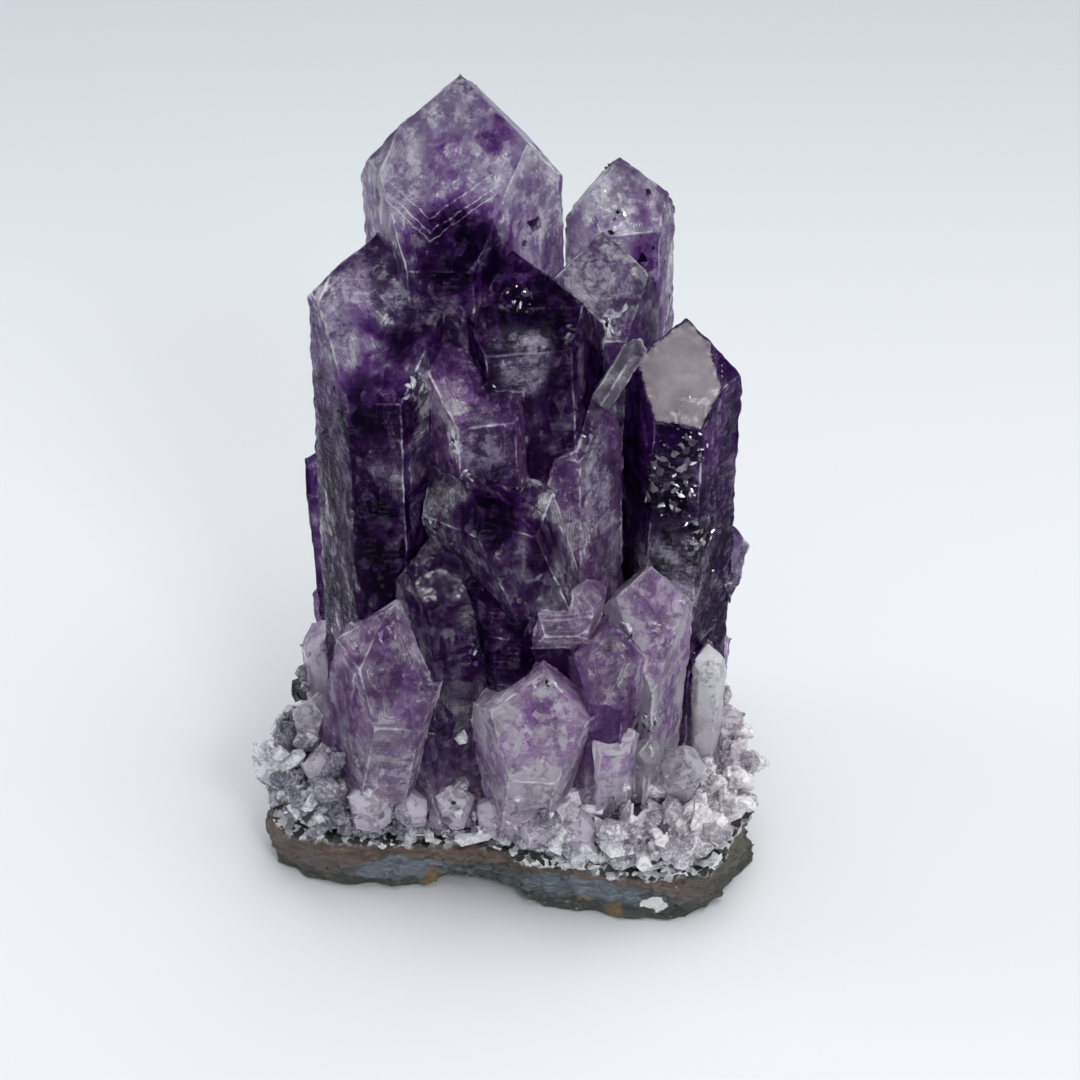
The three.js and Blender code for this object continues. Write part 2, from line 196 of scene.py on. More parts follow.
class Finish:
    """A material built node by node."""

    def __init__(self, name):
        self.material = bpy.data.materials.new(name)
        self.material.use_nodes = True
        self.tree = self.material.node_tree
        self.tree.nodes.clear()

    def node(self, kind, settings=None, inputs=None, output=0):
        made = self.tree.nodes.new(kind)
        for key, value in (settings or {}).items():
            if key == "stops":
                for _ in range(len(value) - 2):
                    made.color_ramp.elements.new(0.5)
                for element, (place, colour) in zip(made.color_ramp.elements, value):
                    element.position, element.color = place, (*colour, 1)
            else:
                setattr(made, key, value)
        for key, value in (inputs or {}).items():
            socket = made.inputs[key]
            if isinstance(value, Value):
                self.tree.links.new(value.socket, socket)
            elif hasattr(socket.default_value, "__len__") and len(socket.default_value) == 4:
                socket.default_value = (*value, 1)
            else:
                socket.default_value = value
        return Value(self, made.outputs[output]) if made.outputs else None

    def point(self):
        """The place on the object, in millimetres."""
        place = self.node("ShaderNodeTexCoord", output="Object")
        return self.node("ShaderNodeVectorMath", {"operation": "SCALE"}, {0: place, "Scale": 1000.0})

    def turned(self, matrix):
        """The place in a crystal's own frame, in millimetres from its tip."""
        place = self.node("ShaderNodeTexCoord", output="Object")
        return self.node(
            "ShaderNodeMapping", {"vector_type": "TEXTURE"},
            {"Vector": place, "Location": matrix.to_translation(), "Rotation": matrix.to_euler(),
             "Scale": (MM,) * 3},
        )

    def stretch(self, vector, x, y, z):
        return self.node("ShaderNodeVectorMath", {"operation": "MULTIPLY"}, {0: vector, 1: (x, y, z)})

    def split(self, vector):
        made = self.tree.nodes.new("ShaderNodeSeparateXYZ")
        self.tree.links.new(vector.socket, made.inputs[0])
        return [Value(self, socket) for socket in made.outputs]

    def noise(self, vector, scale, detail=3.0, rough=0.55, output=0):
        inputs = {"Vector": vector, "Scale": scale, "Detail": detail, "Roughness": rough}
        return self.node("ShaderNodeTexNoise", {}, inputs, output)

    def carried(self, name):
        """A number that the piece carries for each of its corners or faces."""
        return self.node("ShaderNodeAttribute", {"attribute_name": name}, output="Fac")

    def near(self, vector, centre, radii):
        """1 at the centre of an egg-shaped region, 0 at its edge and beyond."""
        off = self.node("ShaderNodeVectorMath", {"operation": "SUBTRACT"}, {0: vector, 1: centre})
        scaled = self.node("ShaderNodeVectorMath", {"operation": "DIVIDE"}, {0: off, 1: radii})
        reach = self.node("ShaderNodeVectorMath", {"operation": "LENGTH"}, {0: scaled}, output="Value")
        return 1 - reach.within(0.35, 1.0)

    def warped(self, vector, scale, amount):
        """The vector pushed about by noise, so that what is laid out on it has uneven edges."""
        push = self.noise(vector, scale, detail=2.0, output="Color")
        centred = self.node("ShaderNodeVectorMath", {"operation": "SUBTRACT"}, {0: push, 1: (0.5,) * 3})
        scaled = self.node("ShaderNodeVectorMath", {"operation": "SCALE"}, {0: centred, "Scale": amount})
        return self.node("ShaderNodeVectorMath", {"operation": "ADD"}, {0: vector, 1: scaled})

    def mix(self, factor, first, second):
        return self.node("ShaderNodeMix", {"data_type": "RGBA"}, {0: factor, 6: first, 7: second}, output=2)

    def ramp(self, value, stops):
        return self.node("ShaderNodeValToRGB", {"stops": stops}, {0: value}, "Color")

    def facets(self, vector, scale):
        """A height field of flat facets, each tilted its own way, that glitters as broken quartz does."""
        made = self.tree.nodes.new("ShaderNodeTexVoronoi")
        self.tree.links.new(vector.socket, made.inputs["Vector"])
        made.inputs["Scale"].default_value = scale
        centre, colour = Value(self, made.outputs["Position"]), Value(self, made.outputs["Color"])
        off = self.node("ShaderNodeVectorMath", {"operation": "SUBTRACT"}, {0: vector, 1: centre})
        slope = self.node("ShaderNodeVectorMath", {"operation": "SUBTRACT"}, {0: colour, 1: (0.5,) * 3})
        return self.node("ShaderNodeVectorMath", {"operation": "DOT_PRODUCT"}, {0: off, 1: slope}, "Value")

    def tiles(self, vector, scale):
        """A value of its own for each angular patch of the surface."""
        tile = self.node("ShaderNodeTexVoronoi", {}, {"Vector": vector, "Scale": scale}, "Color")
        return self.split(tile)[0]

    def bump(self, height, strength, distance):
        inputs = {"Height": height, "Strength": strength, "Distance": distance * MM}
        return self.node("ShaderNodeBump", {}, inputs)

    def surface(self, **sockets):
        names = {key.replace("_", " "): value for key, value in sockets.items()}
        return self.node("ShaderNodeBsdfPrincipled", {}, names)

    def finished(self, shader):
        self.node("ShaderNodeOutputMaterial", {}, {"Surface": shader})
        return self.material


# Colours of amethyst from its darkest core to its frosted skin: violet, lilac and nearly clear quartz, the
# white patches on it, its pale foot, and the near-black and silver tiles of the painted glitter on broken
# places.
VIOLET_STOPS = [
    (0.0, (0.003, 0.001, 0.007)), (0.22, (0.018, 0.003, 0.044)), (0.42, (0.088, 0.020, 0.170)),
    (0.6, (0.22, 0.13, 0.30)), (0.78, (0.42, 0.38, 0.465)), (1.0, (0.88, 0.86, 0.89)),
]
LILAC_STOPS = [
    (0.0, (0.020, 0.004, 0.045)), (0.22, (0.085, 0.022, 0.165)), (0.42, (0.24, 0.105, 0.36)),
    (0.6, (0.41, 0.23, 0.53)), (0.78, (0.64, 0.47, 0.71)), (1.0, (0.94, 0.88, 0.95)),
]
CLEAR_STOPS = [
    (0.0, (0.08, 0.07, 0.10)), (0.3, (0.30, 0.27, 0.34)), (0.6, (0.56, 0.53, 0.59)),
    (1.0, (0.94, 0.92, 0.94)),
]
FROST_STOPS = [
    (0.25, (0.11, 0.095, 0.135)), (0.45, (0.25, 0.23, 0.29)), (0.6, (0.43, 0.41, 0.47)),
    (0.8, (0.85, 0.84, 0.87)),
]
FOOT_STOPS = [
    (0.25, (0.22, 0.13, 0.28)), (0.45, (0.49, 0.35, 0.55)), (0.6, (0.75, 0.61, 0.79)),
    (0.8, (0.98, 0.92, 0.97)),
]
PAINTED_GLINT_STOPS = [
    (0.0, (0.003, 0.002, 0.006)), (0.6, (0.02, 0.014, 0.03)), (0.8, (0.12, 0.11, 0.14)),
    (1.0, (0.40, 0.39, 0.42)),
]


def amethyst(
    name, own_frame, stops, tone, haze, streaks, lines, cores, frosts, glints, chevron, rough, clear,
    rim, spread, painted_glitter,
):
    """Quartz with zones of colour, veils and growth lines. tone is the mean darkness of the violet,
    haze how much of it is milky; cores and frosts are egg-shaped dark and white regions, glints are
    broken places that glitter, with a painted glitter of near-black and silver tiles in their colour,
    rim how pale the edges are, as worn frost and as a painted highlight along them, spread how far in
    from them the colour goes on darkening, clear the share that light goes through where nothing is
    milky, the last argument how strongly that painted glitter covers the broken places, and chevron a
    set of lines like open arrowheads."""
    finish = Finish(name)
    point = finish.point()
    # face holds a random value for each face; it shifts the textures, and in level it makes each face lighter
    # or darker as painted shading.
    face = finish.carried("face")
    jump = finish.node("ShaderNodeVectorMath", {"operation": "SCALE"}, {0: (40.0, 23.0, 31.0), "Scale": face})
    own = finish.node("ShaderNodeVectorMath", {"operation": "ADD"}, {0: point, 1: jump})
    local = finish.turned(own_frame)
    seen = finish.node("ShaderNodeVectorMath", {"operation": "ADD"}, {0: local, 1: jump})
    edge = finish.carried("edge")
    wavy = finish.warped(point, 0.2, 6.0)
    cloud = finish.noise(wavy, 0.12, detail=6.0, rough=0.62)
    mottle = finish.noise(finish.warped(own, 0.5, 1.6), 0.45, detail=7.0, rough=0.72)
    wisps = finish.noise(finish.stretch(finish.warped(seen, 0.35, 2.0), 0.8, 0.8, 0.17), 1.0, 6.0, 0.66)
    flecks = finish.noise(own, 1.5, detail=5.0, rough=0.78)
    bands = finish.noise(finish.stretch(finish.warped(seen, 0.12, 1.2), 0.05, 0.05, 2.2), 1.0, 5.0, 0.7)
    growth = finish.node(
        "ShaderNodeTexNoise", {"noise_dimensions": "1D"},
        {"W": edge * 0.55 + cloud * 1.6, "Scale": 1.0, "Detail": 5.0, "Roughness": 0.8},
    )
    milk = cloud.within(0.46, 0.66) * haze
    frost = None
    for centre, radii, strength in frosts:
        one = finish.near(wavy, centre, radii) * (mottle.within(0.3, 0.62) * 0.75 + 0.25) * strength
        frost = one if frost is None else frost.most(one)
    veils = wisps.within(0.57, 0.70) * mottle.within(0.38, 0.62) * streaks
    depth = tone + (cloud - 0.5) * 0.9 + (mottle - 0.5) * 0.9 - edge.within(0.5, 6.0) * spread
    for centre, radii, strength in cores:
        inside = finish.near(wavy, centre, radii) * strength
        depth = depth - inside * (tone * 0.75)
        milk = milk * (1 - inside * 0.9)
        veils = veils * (1 - inside * 0.6)
    rows = bands.within(0.53, 0.62) * lines
    phantom = growth.within(0.56, 0.60) * flecks.within(0.3, 0.55) * cloud.within(0.38, 0.55) * 0.8
    _, _, z = finish.split(wavy)
    foot = 1 - z.within(9.0, 34.0)
    # Angular patches, each lighter or darker at random: painted shading of small facets.
    broad = finish.tiles(finish.warped(finish.stretch(seen, 1, 1, 0.55), 0.35, 1.6), 0.30)
    small = finish.tiles(finish.warped(finish.stretch(seen, 1, 1, 0.45), 0.9, 0.7), 1.0)
    patches = (broad - 0.5) * cloud.within(0.4, 0.56) * 0.4 + (small - 0.5) * mottle.within(0.44, 0.54) * 0.36
    # Pale strips along the edges: partly worn, frosted quartz and partly a painted highlight.
    edge_frost_and_highlight = (1 - (edge + (flecks - 0.5) * 0.5).within(0.08, 0.3)) * cloud.within(0.36, 0.58) * rim
    # flecks.within(0.65, 0.73) in level adds tiny white specks that are painted glints; face in level is
    # painted shading of each face.
    level = (
        depth + milk * 0.4 + veils * 0.42 + rows * 0.16 + phantom * 0.12 + (flecks - 0.5) * 0.42
        + edge_frost_and_highlight * 0.4 + foot * 0.16 + patches + (face - 0.5) * 0.2 + flecks.within(0.65, 0.73) * 0.3
    )
    if chevron:
        (x, z, slope), offsets, region = chevron
        px, _, pz = finish.split(finish.warped(point, 0.6, 0.7))
        rise = pz - z - abs(px - x) * slope
        marks = None
        for offset in offsets:
            mark = 1 - abs(rise - offset).within(0.02, 0.16)
            marks = mark if marks is None else marks.most(mark)
        marks = marks * finish.near(point, *region) * flecks.within(0.36, 0.55)
        level = level + marks * 0.65
    colour = finish.ramp(level, stops)
    grain = mottle * 0.6 + flecks * 0.4 + edge_frost_and_highlight * 0.2
    if frost:
        colour = finish.mix(frost, colour, finish.ramp(grain, FROST_STOPS))
        milk = milk.most(frost)
    colour = finish.mix(foot * 0.6, colour, finish.ramp(grain, FOOT_STOPS))
    milk = milk.most(foot * 0.7)
    # flecks.within(0.60, 0.74) makes the specks of painted glints milky, so that they show white.
    cloudy = milk * 0.75 + veils * 0.8 + rows * 0.3 + flecks.within(0.60, 0.74) * 0.4
    cloudy = (cloudy + phantom * 0.4 + edge_frost_and_highlight * 0.9).least(0.95)
    grit = finish.noise(point, 2.8, detail=4.0, rough=0.7)
    facet = finish.facets(finish.warped(point, 0.8, 0.5), 0.75)
    planes = finish.facets(finish.warped(finish.stretch(local, 1, 1, 0.5), 0.4, 1.2), 0.26)
    planes = planes * mottle.within(0.4, 0.5)
    height = (
        bands * (0.12 + lines * 0.6) + grit * 0.3 + mottle * 0.5 + growth * 0.5
        + facet * cloud.within(0.5, 0.6) * 0.9 + planes * 1.1
    )
    gloss = rough + flecks.within(0.5, 0.75) * 0.15 + milk * 0.15
    # Each broken place gets a painted glitter: its colour turns to near-black and silver tiles that stand for
    # reflections, and the bright tiles go milky. Its facets and lower roughness are real.
    for centre, radii in glints:
        spot = finish.near(finish.warped(point, 0.45, 4.0), centre, radii).within(0.25, 0.5)
        broken = finish.warped(point, 1.1, 0.7)
        pick = finish.tiles(broken, 1.15)
        colour = finish.mix(spot * painted_glitter, colour, finish.ramp(pick, PAINTED_GLINT_STOPS))
        cloudy = cloudy.most(spot * pick.within(0.6, 0.8))
        height = height + finish.facets(broken, 1.15) * spot * 2.2
        gloss = gloss * (1 - spot * 0.7)
    normal = finish.bump(height, 0.8, 0.45)
    streak = finish.noise(finish.stretch(finish.warped(seen, 0.3, 1.5), 0.5, 0.5, 1.8), 1.0, 5.0, 0.75)
    polish = streak.within(0.46, 0.62) * small.within(0.3, 0.8) * 0.55 + edge_frost_and_highlight * 0.4 + 0.03
    glassy = finish.surface(
        Base_Color=colour, Roughness=gloss, IOR=1.05, Transmission_Weight=1.0, Normal=normal,
        Coat_Weight=polish, Coat_Roughness=0.04,
    )
    milky = finish.surface(
        Base_Color=colour, Roughness=gloss + 0.1, IOR=1.05, Normal=normal,
        Coat_Weight=polish, Coat_Roughness=0.06,
    )
    shader = finish.node("ShaderNodeMixShader", {}, {0: cloudy.most(1 - clear), 1: glassy, 2: milky})
    return finish.finished(shader)


def bright_fracture(name):
    """The broken skin of quartz, where some chips throw the light back like mirrors and others are dark."""
    finish = Finish(name)
    point = finish.point()
    tint = finish.carried("tint")
    cloud = finish.noise(point, 1.2, detail=4.0, rough=0.65)
    colour = finish.ramp(tint + (cloud - 0.5) * 0.4, [
        (0.1, (0.006, 0.004, 0.010)), (0.4, (0.07, 0.06, 0.09)), (0.65, (0.42, 0.40, 0.46)),
        (0.9, (0.96, 0.96, 0.97)),
    ])
    normal = finish.bump(finish.noise(point, 3.0, detail=3.0), 0.3, 0.1)
    return finish.finished(finish.surface(
        Base_Color=colour, Metallic=cloud.within(0.3, 0.7) * 0.4 + 0.5, Roughness=cloud * 0.25 + 0.03,
        Normal=normal,
    ))


def painted_reflection_face(name):
    """A flat, polished cleavage face whose pinkish grey colour is a painted reflection, with a few specks and
    a darker rim.
    """
    finish = Finish(name)
    point = finish.point()
    edge = finish.carried("edge")
    cloud = finish.noise(point, 0.25, detail=4.0)
    speck = finish.noise(point, 2.2, detail=3.0, rough=0.7)
    colour = finish.ramp(cloud + (speck - 0.5) * 0.25, [
        (0.2, (0.15, 0.125, 0.14)), (0.5, (0.225, 0.19, 0.21)), (0.8, (0.31, 0.275, 0.295)),
    ])
    colour = finish.mix(1 - (edge + (speck - 0.5)).within(0.15, 0.5), colour, (0.02, 0.012, 0.03))
    normal = finish.bump(speck, 0.2, 0.1)
    return finish.finished(finish.surface(
        Base_Color=colour, Roughness=0.12 + speck * 0.1, Specular_IOR_Level=0.3, Normal=normal,
    ))


# --- The crystals ---------------------------------------------------------------------------------

# How each crystal looks: colours by its slot or its name, tone, haze, streaks and lines, dark cores and white
# frosts (centre and radii in millimetres, and strength), and the places that glitter (centre and radii),
# whose colour gets a painted glitter.
# What a crystal doesn't say is taken from PLAIN.
PALETTES = {
    "violet_quartz": VIOLET_STOPS, "smoky_quartz": VIOLET_STOPS, "lilac_quartz": LILAC_STOPS,
    "clear_quartz": CLEAR_STOPS,
}
PLAIN = {
    "tone": 0.38, "haze": 0.5, "streaks": 0.6, "lines": 0.4, "cores": [], "frosts": [], "glints": [],
    "chevron": None, "rough": 0.05, "clear": 0.8, "rim": 0.5, "spread": 0.12, "painted_glitter": 0.2,
}
LOOKS = {
    "crown_point": {
        "tone": 0.65, "haze": 0.5, "streaks": 0.5, "lines": 0.1,
        "cores": [((-6.5, -2.5, 96.5), (10, 9, 9), 0.85), ((-2.2, 7.2, 109.5), (5, 5, 4.5), 0.45)],
        "frosts": [((-14.5, 5, 105), (7, 9, 7.5), 1.0), ((-6.5, 10, 113), (6, 7, 5), 0.8),
                   ((2, 4, 105), (4.5, 6, 6), 0.45)],
        "chevron": ((-10, 99.6, 0.6), (0.0, -0.8, 1.3), ((-9, 1, 102), (11, 12, 9))),
        "glints": [((1.2, -1.6, 101), (2.0, 3, 2.4))], "spread": 0.06,
    },
    "left_tower": {
        "tone": 0.5, "painted_glitter": 0.7, "haze": 0.5, "streaks": 0.6, "lines": 0.4,
        "cores": [((-17, -13, 78), (8, 8, 8), 0.9), ((-14.8, -8, 86), (3.5, 4, 3), 0.7),
                  ((-15, -16, 58), (10, 8, 16), 0.7)],
        "frosts": [((-23, -6, 87), (5, 7, 6), 1.0), ((-17, -3, 92), (9, 7, 6), 0.6)],
        "glints": [((-11.8, -11, 81), (2.6, 3, 4)), ((-10, -13, 74), (2, 3, 4)),
                   ((-10, -15, 63), (1.6, 3, 3))],
    },
    "left_twin": {
        "tone": 0.5, "haze": 0.5, "streaks": 0.9, "lines": 0.2,
        "frosts": [((-3, -13, 74), (5, 5, 7), 0.8), ((-9, -11, 78), (5, 5, 5), 0.4)],
        "glints": [((-7, -13.5, 74), (1.4, 2.4, 2))],
    },
    "dark_point": {
        "tone": 0.37, "haze": 0.1, "streaks": 0.6, "lines": 0.1,
        "frosts": [((2, -8.6, 84), (5, 4, 8), 0.9)], "glints": [((1.5, -5, 91), (3.4, 3, 1.8))],
    },
    "shoulder_point": {
        "tone": 0.65, "haze": 0.5, "streaks": 0.5, "lines": 0.2,
        "frosts": [((11.7, 6, 88.7), (7, 7, 8), 0.85)], "cores": [((5, 4, 90), (4, 4, 4), 0.7)],
        "glints": [((14, 1.3, 83.5), (2.6, 2.6, 3))],
    },
    "rear_point": {
        "tone": 0.64, "haze": 0.5, "streaks": 0.6, "lines": 0.3, "spread": 0.05,
        "frosts": [((13, 19, 95), (8, 8, 6), 0.7)],
        "cores": [((19.4, 15.5, 85), (5, 6, 7), 0.7)], "glints": [((14.2, 16.4, 91.6), (2.6, 4, 3.6))],
    },
    "right_tower": {
        "tone": 0.3, "painted_glitter": 0.85, "haze": 0.1, "streaks": 0.4, "lines": 0.5, "spread": 0.04,
        "glints": [((21.6, -9.4, 65), (4.6, 4, 7)), ((25, -9.6, 70), (2.6, 4, 3.4)),
                   ((26, -9.6, 55), (2.5, 4, 6))],
        "frosts": [((22, -10.8, 48), (8, 6, 13), 0.95)],
    },
    "middle_column": {
        "tone": 0.63, "haze": 0.4, "streaks": 0.8, "lines": 0.1,
        "frosts": [((12.4, -9, 63), (4.5, 5, 11), 0.95)], "glints": [((11, -9, 72), (1.8, 3, 2.4))],
    },
    "heart_point": {
        "tone": 0.62, "haze": 0.4, "streaks": 0.4, "lines": 0.2, "spread": 0.04,
        "cores": [((-2.3, -19, 66), (7.5, 5, 5), 0.75), ((5, -19, 61), (6, 5, 5), 0.75)],
        "frosts": [((-2, -13, 73), (9, 5, 4.5), 0.7)], "glints": [((-6, -16, 70), (2.2, 3, 1.4))],
    },
    "left_flank": {"tone": 0.38, "haze": 0.3, "streaks": 0.9, "lines": 0.9},
    "right_wing": {
        "tone": 0.62, "haze": 0.4, "streaks": 0.9, "lines": 1.0, "frosts": [((32, -6, 42), (6, 9, 12), 0.6)],
    },
    "shadow_column": {
        "tone": 0.5, "haze": 0.1, "streaks": 0.3, "lines": 0.1, "spread": 0.02, "rim": 0.1,
        "glints": [((-5, -19.8, 44), (0.9, 2, 5.5))],
    },
    "striped_point": {"tone": 0.4, "haze": 0.1, "streaks": 0.3, "lines": 1.0, "spread": 0.03, "rim": 0.1},
    "left_front_point": {
        "tone": 0.77, "haze": 0.3, "streaks": 0.6, "lines": 0.4, "rim": 0.35,
        "frosts": [((-14, -24, 25), (9, 6, 9), 0.7), ((-11, -22, 34), (2.2, 4, 12), 0.6)],
        "glints": [((-17, -18, 46), (2.4, 3, 1.2)), ((-10.5, -23, 30), (1.2, 3, 3))],
    },
    "front_point": {
        "tone": 0.87, "haze": 0.5, "streaks": 0.5, "lines": 0.5, "clear": 0.6, "spread": 0.03, "rim": 0.35,
        "cores": [((4.5, -27, 39), (4, 3, 4), 0.35), ((2, -29, 27), (2, 3, 2), 0.3)],
        "glints": [((4.5, -25, 42.5), (2.2, 3, 1.0))],
    },
    "right_front_point": {
        "tone": 0.92, "haze": 0.3, "streaks": 0.5, "lines": 0.5, "clear": 0.6, "rim": 0.35,
        "glints": [((19, -22, 33), (3.4, 3, 2.2)), ((15.6, -18, 45), (1.8, 3, 2.2))],
    },
    "deep_front_point": {"tone": 0.72, "haze": 0.4, "streaks": 0.3, "lines": 0.2, "rim": 0.1},
    "button_point": {"tone": 0.84, "haze": 0.3, "streaks": 0.4, "lines": 0.8, "rim": 0.35},
    "front_stub": {"tone": 0.95, "haze": 0.5, "streaks": 0.4, "lines": 0.3, "clear": 0.5},
    "clear_spike": {"tone": 1.1, "haze": 0.4, "streaks": 0.8, "lines": 0.8, "clear": 0.3},
    "window_point": {"tone": 1.0, "haze": 0.5, "clear": 0.5},
    "left_side_point": {"tone": 0.92, "clear": 0.5},
    "left_edge_point": {"tone": 0.95, "clear": 0.5},
    "left_corner_point": {"tone": 0.95, "clear": 0.5},
    "right_edge_point": {"tone": 1.0, "haze": 0.7, "clear": 0.4},
    "corner_sliver": {"tone": 0.96},
}
for number in range(1, 8):
    LOOKS[f"rim_point_{number}"] = {"tone": 1.02, "haze": 0.7, "clear": 0.3}
for node in ("left_front_point", "front_point", "right_front_point", "deep_front_point", "button_point",
             "front_stub"):
    LOOKS[node]["stops"] = LILAC_STOPS

# The flat face that ends the right tower: a point on it and the way it looks.
FLAT_END = (Vector((22.95, -3.53, 78.25)) * MM, Vector((0.081, -0.689, 0.720)).normalized())


def sharp_edges(piece):
    """Both ends of every sharp edge, as an array."""
    shape = bmesh.new()
    shape.from_mesh(piece.data)
    ends = [
        [corner.co[:] for corner in edge.verts]
        for edge in shape.edges if len(edge.link_faces) == 2 and edge.calc_face_angle() > SHARP
    ]
    shape.free()
    return np.array(ends)


def from_edges(piece, lines):
    """The distance of each corner of a piece from the nearest sharp edge, in millimetres."""
    corners = np.array([v.co[:] for v in piece.data.vertices])
    distances = []
    for some in np.array_split(corners, len(corners) // 4000 + 1):
        run = lines[:, 1] - lines[:, 0]
        off = some[:, None] - lines[None, :, 0]
        along = np.clip((off * run).sum(-1) / (run * run).sum(-1), 0, 1)
        distances.append(np.linalg.norm(off - along[..., None] * run, axis=-1).min(1))
    return np.concatenate(distances) / MM


def detail(piece, axis, seed, length):
    """Adds what growth leaves on a crystal: worn edges, uneven faces, steps across the prism and chips."""
    cuts = max(2, round(length / CUT_LENGTH))
    levels = 4 if length > TALL else 3
    lines = sharp_edges(piece)
    edit(piece)
    bpy.ops.transform.shrink_fatten(value=GROW)
    bpy.ops.mesh.select_all(action="DESELECT")
    bpy.ops.mesh.select_mode(type="EDGE")
    bpy.ops.mesh.edges_select_sharp(sharpness=SHARP)
    bpy.ops.mesh.bevel(offset=WORN_EDGE, segments=1, affect="EDGES", clamp_overlap=True)
    heights = [v.co.dot(axis) for v in piece.data.vertices]
    low, high = min(heights), max(heights)
    for step in range(1, cuts):
        bpy.ops.mesh.select_all(action="SELECT")
        bpy.ops.mesh.bisect(plane_co=axis * (low + (high - low) * step / cuts), plane_no=axis)
    done()
    if len(piece.data.loops) * 2 * 4 ** (levels - 1) > MOST_TRIANGLES:
        levels -= 1
    finish_modifier(piece, "SUBSURF", subdivision_type="SIMPLE", levels=levels, render_levels=levels)
    group = piece.vertex_groups.new(name="edges")
    for index, distance in enumerate(from_edges(piece, lines)):
        group.add([index], max(0.0, 1 - distance / EDGE_REACH), "REPLACE")
    rng = random.Random(seed)
    shift = Matrix.Translation([rng.uniform(-1, 1) for _ in range(3)])
    for texture, depth, size, where in (
        (WAVES, BEND, (9, 9, 14), ""),
        (STEPS, 0.11 * MM, (6, 6, 1.9), ""),
        (WAVES, 0.14 * MM, (2.4, 2.4, 1.8), ""),
        (PITS, 0.28 * MM, (3.1, 3.1, 2.6), "edges"),
    ):
        relief(piece, texture, depth, shift @ standing(axis) @ scaled(size), where)
    return lines


def chosen(piece, test):
    """Selects the faces that pass a test, in edit mode."""
    bpy.ops.mesh.select_mode(type="FACE")
    bpy.ops.mesh.select_all(action="DESELECT")
    shape = bmesh.from_edit_mesh(piece.data)
    for face in shape.faces:
        face.select_set(test(face))
    bmesh.update_edit_mesh(piece.data)


def hillock(name, corners, long, seed):
    """A low growth hill as found on a quartz face: an uneven plate with sloping sides and a flat top."""
    bpy.ops.mesh.primitive_cylinder_add(vertices=corners, radius=0.5 * MM, depth=0.5 * MM, location=(0, 0, 0))
    piece = bpy.context.object
    piece.name = name
    edit(piece)
    bpy.ops.transform.resize(value=(1, long, 1))
    bpy.ops.transform.vertex_random(offset=0.12 * MM, uniform=0.5, seed=seed)
    chosen(piece, lambda face: face.normal.z > 0.9)
    bpy.ops.transform.resize(value=(0.7, 0.62, 1), center_override=(0.05 * MM, 0.1 * MM * long, 0.25 * MM))
    done()
    return piece


def shapes_of(pieces):
    """Corners and faces of some modelled shapes, which are then put away."""
    shapes = []
    for piece in pieces:
        corners = np.array([v.co[:] for v in piece.data.vertices])
        shapes.append((corners, [tuple(face.vertices) for face in piece.data.polygons]))
        bpy.data.objects.remove(piece)
    return shapes


MOST_HILLS = 120  # on one crystal
HILLS_PER_AREA = 0.03  # to a square millimetre
HILLS = shapes_of([
    hillock("low_hill", 6, 1.5, 1), hillock("wedge_hill", 3, 1.2, 2), hillock("lath_hill", 4, 1.9, 3),
    hillock("broad_hill", 5, 0.8, 4),
])


def copies(shapes, places):
    """Corners and faces of many copies of some shapes, each set down by its own matrix."""
    corners, faces, count = [], [], 0
    for kind, matrix, *_ in places:
        shape, sides = shapes[kind]
        corners.append(shape @ np.array(matrix.to_3x3()).T + np.array(matrix.to_translation()))
        faces += [tuple(i + count for i in side) for side in sides]
        count += len(shape)
    return np.concatenate(corners).tolist(), faces


def tilted(rng, most):
    """A small turn about X and Y."""
    about_x = Matrix.Rotation(rng.uniform(-most, most), 4, "X")
    return about_x @ Matrix.Rotation(rng.uniform(-most, most), 4, "Y")


def add_hills(piece, axis, seed, lines):
    """Grows plates and hills on the faces of a crystal, lined up with its axis and clear of its edges."""
    rng = random.Random(seed + 500)
    room = from_edges(piece, lines)
    sides = [face for face in piece.data.polygons if min(room[i] for i in face.vertices) > 0.5]
    if not sides:
        return
    areas = [face.area for face in sides]
    places = []
    for face in rng.choices(sides, areas, k=min(MOST_HILLS, round(sum(areas) / MM**2 * HILLS_PER_AREA))):
        normal = face.normal.copy()
        along = axis - normal * axis.dot(normal)
        if along.length < 0.1:
            continue
        along.normalize()
        stand = Matrix((along.cross(normal), along, normal)).transposed().to_4x4()
        wide = min(rng.choice((0.8, 1.2, 1.6, 2.4, 3.6)), room[face.vertices[0]] * 0.75)
        wide *= rng.uniform(0.7, 1.1)
        thick = min(wide * rng.uniform(0.1, 0.2), 0.35)
        tilt = tilted(rng, 0.06)
        turn = Matrix.Rotation(rng.choice((0, math.pi, 0.9, -0.9)) + rng.uniform(-0.1, 0.1), 4, "Z")
        places.append((
            rng.randrange(len(HILLS)),
            Matrix.Translation(face.center - normal * thick * 0.1 * MM) @ stand @ tilt @ turn
            @ Matrix.Diagonal((wide, wide, thick, 1)),
        ))
    if not places:
        return
    mesh = bpy.data.meshes.new("hills")
    corners, faces = copies(HILLS, places)
    mesh.from_pydata(corners, [], faces)
    # Each hill gets a random tone, painted shading like that of the faces.
    painted_face_shades = [shade for kind, *_ in places for shade in [rng.random()] * len(HILLS[kind][1])]
    set_values(mesh, "face", painted_face_shades, "FACE")
    hills = bpy.data.objects.new("hills", mesh)
    bpy.context.collection.objects.link(hills)
    take(piece)
    hills.select_set(True)
    bpy.ops.object.join()


